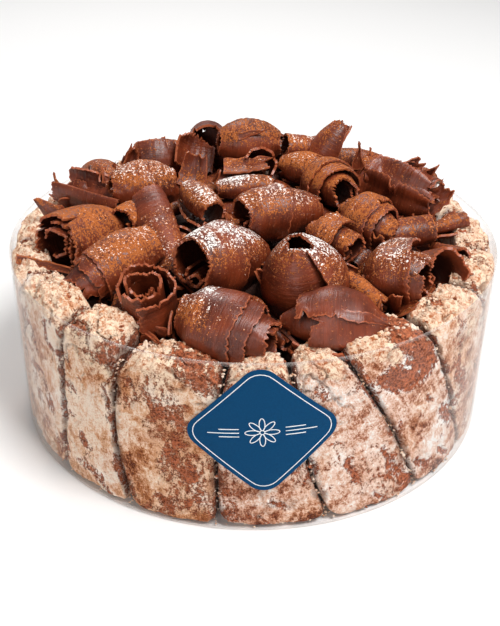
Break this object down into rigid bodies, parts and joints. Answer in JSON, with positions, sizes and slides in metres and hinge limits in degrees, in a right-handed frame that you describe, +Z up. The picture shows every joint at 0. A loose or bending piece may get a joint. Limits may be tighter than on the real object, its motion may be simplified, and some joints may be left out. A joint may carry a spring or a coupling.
{
  "type": "charlotte cake",
  "caption": "Round charlotte cake: mousse core in a ring of sponge fingers, a clear collar with a blank label, a heap of chocolate curls on top.",
  "frame": {"origin": "middle of the flat underside, at the height of the collar's lower edge", "axes": "+Z up through the middle of the cake, -Y towards the front with the label, +X to the viewer's right"},
  "size_m": [0.2, 0.2006, 0.1042],
  "materials": {
    "mousse": "dark chocolate mousse, matt",
    "acetate": "clear acetate film, gloss",
    "label_paper": "blue coated paper, satin",
    "sponge": "dry baked sponge dusted with sugar and cocoa, matt and pitted",
    "chocolate": "dark chocolate, satin, dusted with cocoa and icing sugar"
  },
  "bodies": {
    "root": {"mousse_core": "mousse", "clear_collar": "acetate", "label": "label_paper", "sponge_finger_01": "sponge", "sponge_finger_02": "sponge", "sponge_finger_03": "sponge", "sponge_finger_04": "sponge", "sponge_finger_05": "sponge", "sponge_finger_06": "sponge", "sponge_finger_07": "sponge", "sponge_finger_08": "sponge", "sponge_finger_09": "sponge", "sponge_finger_10": "sponge", "sponge_finger_11": "sponge", "sponge_finger_12": "sponge", "sponge_finger_13": "sponge", "sponge_finger_14": "sponge", "sponge_finger_15": "sponge", "sponge_finger_16": "sponge", "sponge_finger_17": "sponge", "sponge_finger_18": "sponge", "curl_front_barrel": "chocolate", "curl_front_clam": "chocolate", "curl_front_tent": "chocolate", "curl_upright_scroll": "chocolate", "curl_round_mouth": "chocolate", "curl_cracked_ball": "chocolate", "curl_slender_tube": "chocolate", "curl_open_petal": "chocolate", "curl_long_dusted": "chocolate", "curl_west_barrel": "chocolate", "curl_slab_curl": "chocolate", "curl_middle_ovoid": "chocolate", "curl_jagged_curl": "chocolate", "curl_folded_curl": "chocolate", "curl_plain_cylinder": "chocolate", "curl_little_mouth": "chocolate", "curl_edge_tube": "chocolate", "curl_dark_scroll": "chocolate", "curl_striped_curl": "chocolate", "curl_back_dusted": "chocolate", "curl_dark_mouth": "chocolate", "curl_sugared_curl": "chocolate", "curl_striated_curl": "chocolate", "curl_dusted_inner": "chocolate", "curl_wide_scroll": "chocolate", "curl_large_ovoid": "chocolate", "curl_ridge_shard": "chocolate", "curl_crown_ball": "chocolate", "curl_crown_curl": "chocolate", "curl_crown_shard": "chocolate", "curl_hook_curl": "chocolate", "curl_fan_shard": "chocolate", "curl_back_west_curl": "chocolate", "curl_back_west_barrel": "chocolate", "curl_back_middle_barrel": "chocolate", "curl_back_middle_curl": "chocolate", "curl_back_east_barrel": "chocolate", "curl_back_east_curl": "chocolate", "curl_far_east_curl": "chocolate"}
  },
  "joints": []
}
